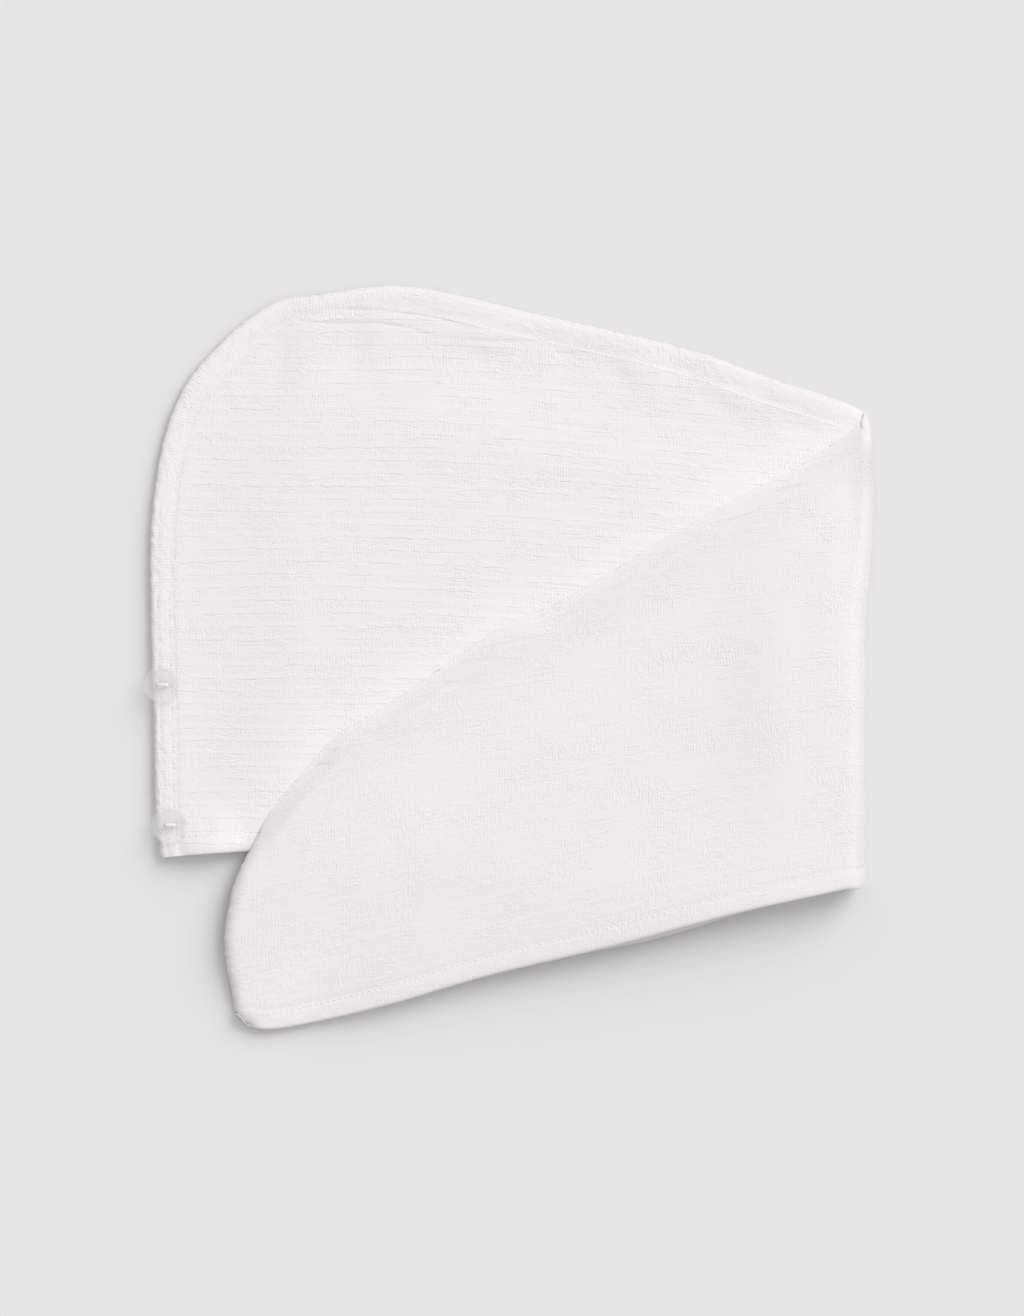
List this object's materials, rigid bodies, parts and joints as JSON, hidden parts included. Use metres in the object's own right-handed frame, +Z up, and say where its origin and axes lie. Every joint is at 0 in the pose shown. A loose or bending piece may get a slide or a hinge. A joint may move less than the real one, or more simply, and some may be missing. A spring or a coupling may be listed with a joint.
{
  "type": "hair turban towel",
  "caption": "Ribbed terry hair turban lying flat, its tail folded over the hood, with an open pocket, a stitched seam band and clear buttons at the nape.",
  "frame": {"origin": "on the surface that the towel lies on, below the middle of its outline", "axes": "+Z up from the surface, +X from the nape edge towards the fold, +Y from the open edge towards the crown"},
  "size_m": [0.3467, 0.3535, 0.0198],
  "materials": {
    "terry": "white ribbed terry with a soft waffle weave",
    "hem": "white terry, turned and stitched",
    "seam": "white terry band with two rows of stitches",
    "button": "clear plastic with a soft gloss",
    "thread": "white sewing thread"
  },
  "bodies": {
    "root": {"left_panel": "terry", "right_panel": "terry", "left_hem": "hem", "right_hem": "hem", "seam_band": "seam", "button_upper": "button", "button_lower": "button", "thread_upper": "thread", "thread_lower": "thread"}
  },
  "joints": []
}
